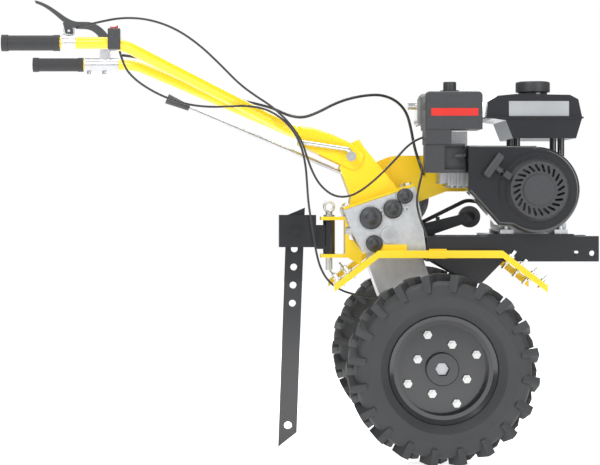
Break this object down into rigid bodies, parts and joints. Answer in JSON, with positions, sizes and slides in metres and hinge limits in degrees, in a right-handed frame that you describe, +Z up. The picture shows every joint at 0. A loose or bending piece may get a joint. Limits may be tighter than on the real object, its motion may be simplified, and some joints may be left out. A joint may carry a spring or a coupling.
{
  "type": "walk-behind tractor",
  "caption": "Petrol two-wheel walk-behind tractor with tilting handlebars, belt and chain drive, lugged tyres and a rear drag bar on a pinned hitch.",
  "frame": {"origin": "centre of the bounding box's footprint, at the ground", "axes": "+X forward, from the grips to the engine; +Y to the machine's left; +Z up; wheel axle along Y"},
  "size_m": [1.336, 0.66, 1.076],
  "materials": {
    "yellow_paint": "gloss",
    "black_paint": "gloss",
    "black_plastic": "satin",
    "rubber": "matte",
    "tyre_rubber": "matte",
    "belt_rubber": "matte",
    "tank_paint": "gloss",
    "cast_alloy": "cast",
    "red_plastic": "gloss",
    "steel": "satin",
    "zinc": "zinc plated",
    "pulley_iron": "satin",
    "cable_sheath": "satin"
  },
  "bodies": {
    "frame": {"air_cleaner": "black_plastic", "belt_guard": "yellow_paint", "carburettor": "cast_alloy", "clutch_cable": "cable_sheath", "drive_belt": "belt_rubber", "drive_chain": "steel", "engine_block": "cast_alloy", "fan_housing": "black_paint", "frame_bolts": "zinc", "fuel_tank": "tank_paint", "gearbox_case": "cast_alloy", "hitch_bracket": "yellow_paint", "lower_cable": "cable_sheath", "lower_case": "cast_alloy", "muffler": "zinc", "pedestal": "yellow_paint", "rail_frame": "black_paint", "recoil_cover": "black_plastic", "side_cable": "cable_sheath", "throttle_cable": "cable_sheath", "wing_brackets": "yellow_paint"},
    "wheels": {"axle_shaft": "steel", "hubs": "black_paint", "rims": "black_paint", "tyre_left": "tyre_rubber", "tyre_right": "tyre_rubber", "wheel_bolts": "zinc"},
    "input": {"input_shaft": "steel", "driven_pulley": "pulley_iron"},
    "lay": {"lay_shaft": "steel"},
    "output": {"output_shaft": "steel"},
    "sprocket": {"chain_sprocket": "steel"},
    "crank": {"crankshaft": "steel", "flywheel": "pulley_iron", "engine_pulley": "pulley_iron"},
    "idler_arm": {"idler_arm": "black_paint"},
    "idler": {"idler_pulley": "pulley_iron"},
    "handlebar": {"handle_head": "yellow_paint", "handle_left": "yellow_paint", "handle_right": "yellow_paint", "grips": "rubber", "clutch_bracket": "steel", "throttle_clamp": "zinc", "switch_body": "black_plastic"},
    "clutch_lever": {"clutch_lever": "black_plastic"},
    "throttle_lever": {"throttle_lever": "black_plastic"},
    "stop_rocker": {"stop_rocker": "red_plastic"},
    "clamp_lever": {"clamp_lever": "zinc"},
    "shift_rod": {"shift_rod": "steel", "shift_grip": "black_plastic"},
    "coulter": {"drag_bar_holder": "black_paint", "drag_bar": "black_paint"},
    "hitch_pin": {"hitch_pin": "zinc"},
    "recoil_handle": {"recoil_handle": "black_plastic"},
    "fuel_cap": {"fuel_cap": "black_plastic"},
    "filter_knob": {"filter_knob": "black_plastic"},
    "choke_lever": {"choke_lever": "black_plastic"}
  },
  "joints": [
    {"name": "wheel_spin", "type": "hinge", "parent": "frame", "child": "wheels", "pos_m": [0.288, 0, 0.207], "axis": [0, 1, 0], "continuous": true},
    {"name": "input_spin", "type": "hinge", "parent": "frame", "child": "input", "pos_m": [0.231, 0, 0.58], "axis": [0, 1, 0], "continuous": true},
    {"name": "lay_spin", "type": "hinge", "parent": "frame", "child": "lay", "pos_m": [0.20197, 0, 0.55248], "axis": [0, 1, 0], "continuous": true},
    {"name": "output_spin", "type": "hinge", "parent": "frame", "child": "output", "pos_m": [0.19015, 0, 0.4957], "axis": [0, 1, 0], "continuous": true},
    {"name": "sprocket_spin", "type": "hinge", "parent": "frame", "child": "sprocket", "pos_m": [0.19015, 0, 0.4957], "axis": [0, 1, 0], "continuous": true},
    {"name": "crank_spin", "type": "hinge", "parent": "frame", "child": "crank", "pos_m": [0.521, 0, 0.598], "axis": [0, 1, 0], "continuous": true},
    {"name": "idler_swing", "type": "hinge", "parent": "frame", "child": "idler_arm", "pos_m": [0.298, 0.104, 0.506], "axis": [0, -1, 0], "range_deg": [0, 3.75]},
    {"name": "idler_spin", "type": "hinge", "parent": "idler_arm", "child": "idler", "pos_m": [0.401, 0.128, 0.536], "axis": [0, 1, 0], "continuous": true},
    {"name": "handlebar_tilt", "type": "hinge", "parent": "frame", "child": "handlebar", "pos_m": [0.105, 0, 0.676], "axis": [0, 1, 0], "range_deg": [-6, 12], "deforming": ["throttle_cable", "lower_cable", "clutch_cable"]},
    {"name": "clutch_squeeze", "type": "hinge", "parent": "handlebar", "child": "clutch_lever", "pos_m": [-0.488, 0.3, 0.955], "axis": [0, -1, 0], "range_deg": [0, 30], "stiffness_Nm_per_rad": 2, "springref_deg": -17.19},
    {"name": "throttle_turn", "type": "hinge", "parent": "handlebar", "child": "throttle_lever", "pos_m": [-0.522, -0.3, 0.941], "axis": [0, 1, 0], "range_deg": [-25, 25]},
    {"name": "stop_press", "type": "hinge", "parent": "handlebar", "child": "stop_rocker", "pos_m": [-0.424, -0.3, 0.942], "axis": [0, 1, 0], "range_deg": [-3, 3]},
    {"name": "clamp_turn", "type": "hinge", "parent": "handlebar", "child": "clamp_lever", "pos_m": [0.105, 0, 0.676], "axis": [0, 1, 0], "range_deg": [0, 60]},
    {"name": "shift_slide", "type": "slide", "parent": "frame", "child": "shift_rod", "axis": [0.9206, 0, -0.3904], "range_m": [-0.02, 0.02]},
    {"name": "coulter_swing", "type": "hinge", "parent": "frame", "child": "coulter", "pos_m": [0.057, 0, 0.56], "axis": [0, 0, 1], "range_deg": [-15, 15]},
    {"name": "hitch_pin_lift", "type": "slide", "parent": "frame", "child": "hitch_pin", "axis": [0, 0, 1], "range_m": [0, 0.065]},
    {"name": "starter_pull", "type": "slide", "parent": "frame", "child": "recoil_handle", "axis": [-0.8089, 0, 0.5879], "range_m": [0, 0.45], "stiffness_N_per_m": 20, "springref_m": -0.1},
    {"name": "cap_turn", "type": "hinge", "parent": "frame", "child": "fuel_cap", "pos_m": [0.528, -0.028, 0.8], "axis": [0, 0, 1], "range_deg": [0, 90]},
    {"name": "knob_turn", "type": "hinge", "parent": "frame", "child": "filter_knob", "pos_m": [0.332, -0.057, 0.83], "axis": [0, 0, 1], "continuous": true},
    {"name": "choke_turn", "type": "hinge", "parent": "frame", "child": "choke_lever", "pos_m": [0.344, -0.095, 0.676], "axis": [0, 1, 0], "range_deg": [-10, 10]}
  ],
  "couplings": [
    {"joint": "lay_spin", "follows": "input_spin", "ratio": -0.66667},
    {"joint": "output_spin", "follows": "input_spin", "ratio": 0.3},
    {"joint": "sprocket_spin", "follows": "wheel_spin", "ratio": 2},
    {"joint": "idler_swing", "follows": "clutch_squeeze", "ratio": 0.125}
  ]
}
